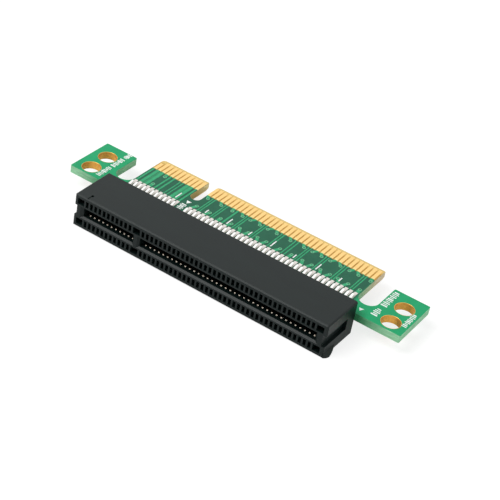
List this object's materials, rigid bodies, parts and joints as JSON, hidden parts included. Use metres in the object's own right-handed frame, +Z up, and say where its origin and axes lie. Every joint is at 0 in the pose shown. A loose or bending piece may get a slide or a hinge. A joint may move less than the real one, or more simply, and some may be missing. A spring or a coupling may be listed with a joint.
{
  "type": "card slot extension adapter",
  "caption": "Straight card slot extender: a keyed edge socket straddles a small board whose far edge is the matching tab with plated fingers, with a drilled ear at each side.",
  "frame": {"origin": "centre of the footprint, on the plane of the socket housing's underside", "axes": "+X along the contact rows from the short bank to the long one, +Y from the socket's mouth to the tip of the card tab, +Z up from the underside to the first-contact mark"},
  "size_m": [0.0742, 0.0258, 0.0071],
  "materials": {
    "moulded_housing": "fine satin, moulded",
    "masked_laminate": "green solder mask over glass laminate",
    "plated_copper": "plated, smooth",
    "tinned_contact": "tin plated, satin",
    "solder": "reflowed solder",
    "gold_finger": "gold plated, satin",
    "masked_copper": "copper under green mask",
    "white_ink": "screen printed"
  },
  "bodies": {
    "root": {"housing": "moulded_housing", "circuit_board": "masked_laminate", "contacts_top_short": "tinned_contact", "contacts_top_long": "tinned_contact", "contacts_bottom_short": "tinned_contact", "contacts_bottom_long": "tinned_contact", "pads_top_short": "solder", "pads_top_long": "solder", "pads_bottom_short": "solder", "pads_bottom_long": "solder", "fingers_top_short": "gold_finger", "fingers_top_long": "gold_finger", "fingers_bottom_short": "gold_finger", "fingers_bottom_long": "gold_finger", "power_tracks_top": "masked_copper", "power_tracks_bottom": "masked_copper", "signal_tracks_top": "masked_copper", "signal_tracks_bottom": "masked_copper", "pair_tracks_top": "masked_copper", "pair_tracks_bottom": "masked_copper", "printed_marks": "white_ink"}
  },
  "joints": []
}
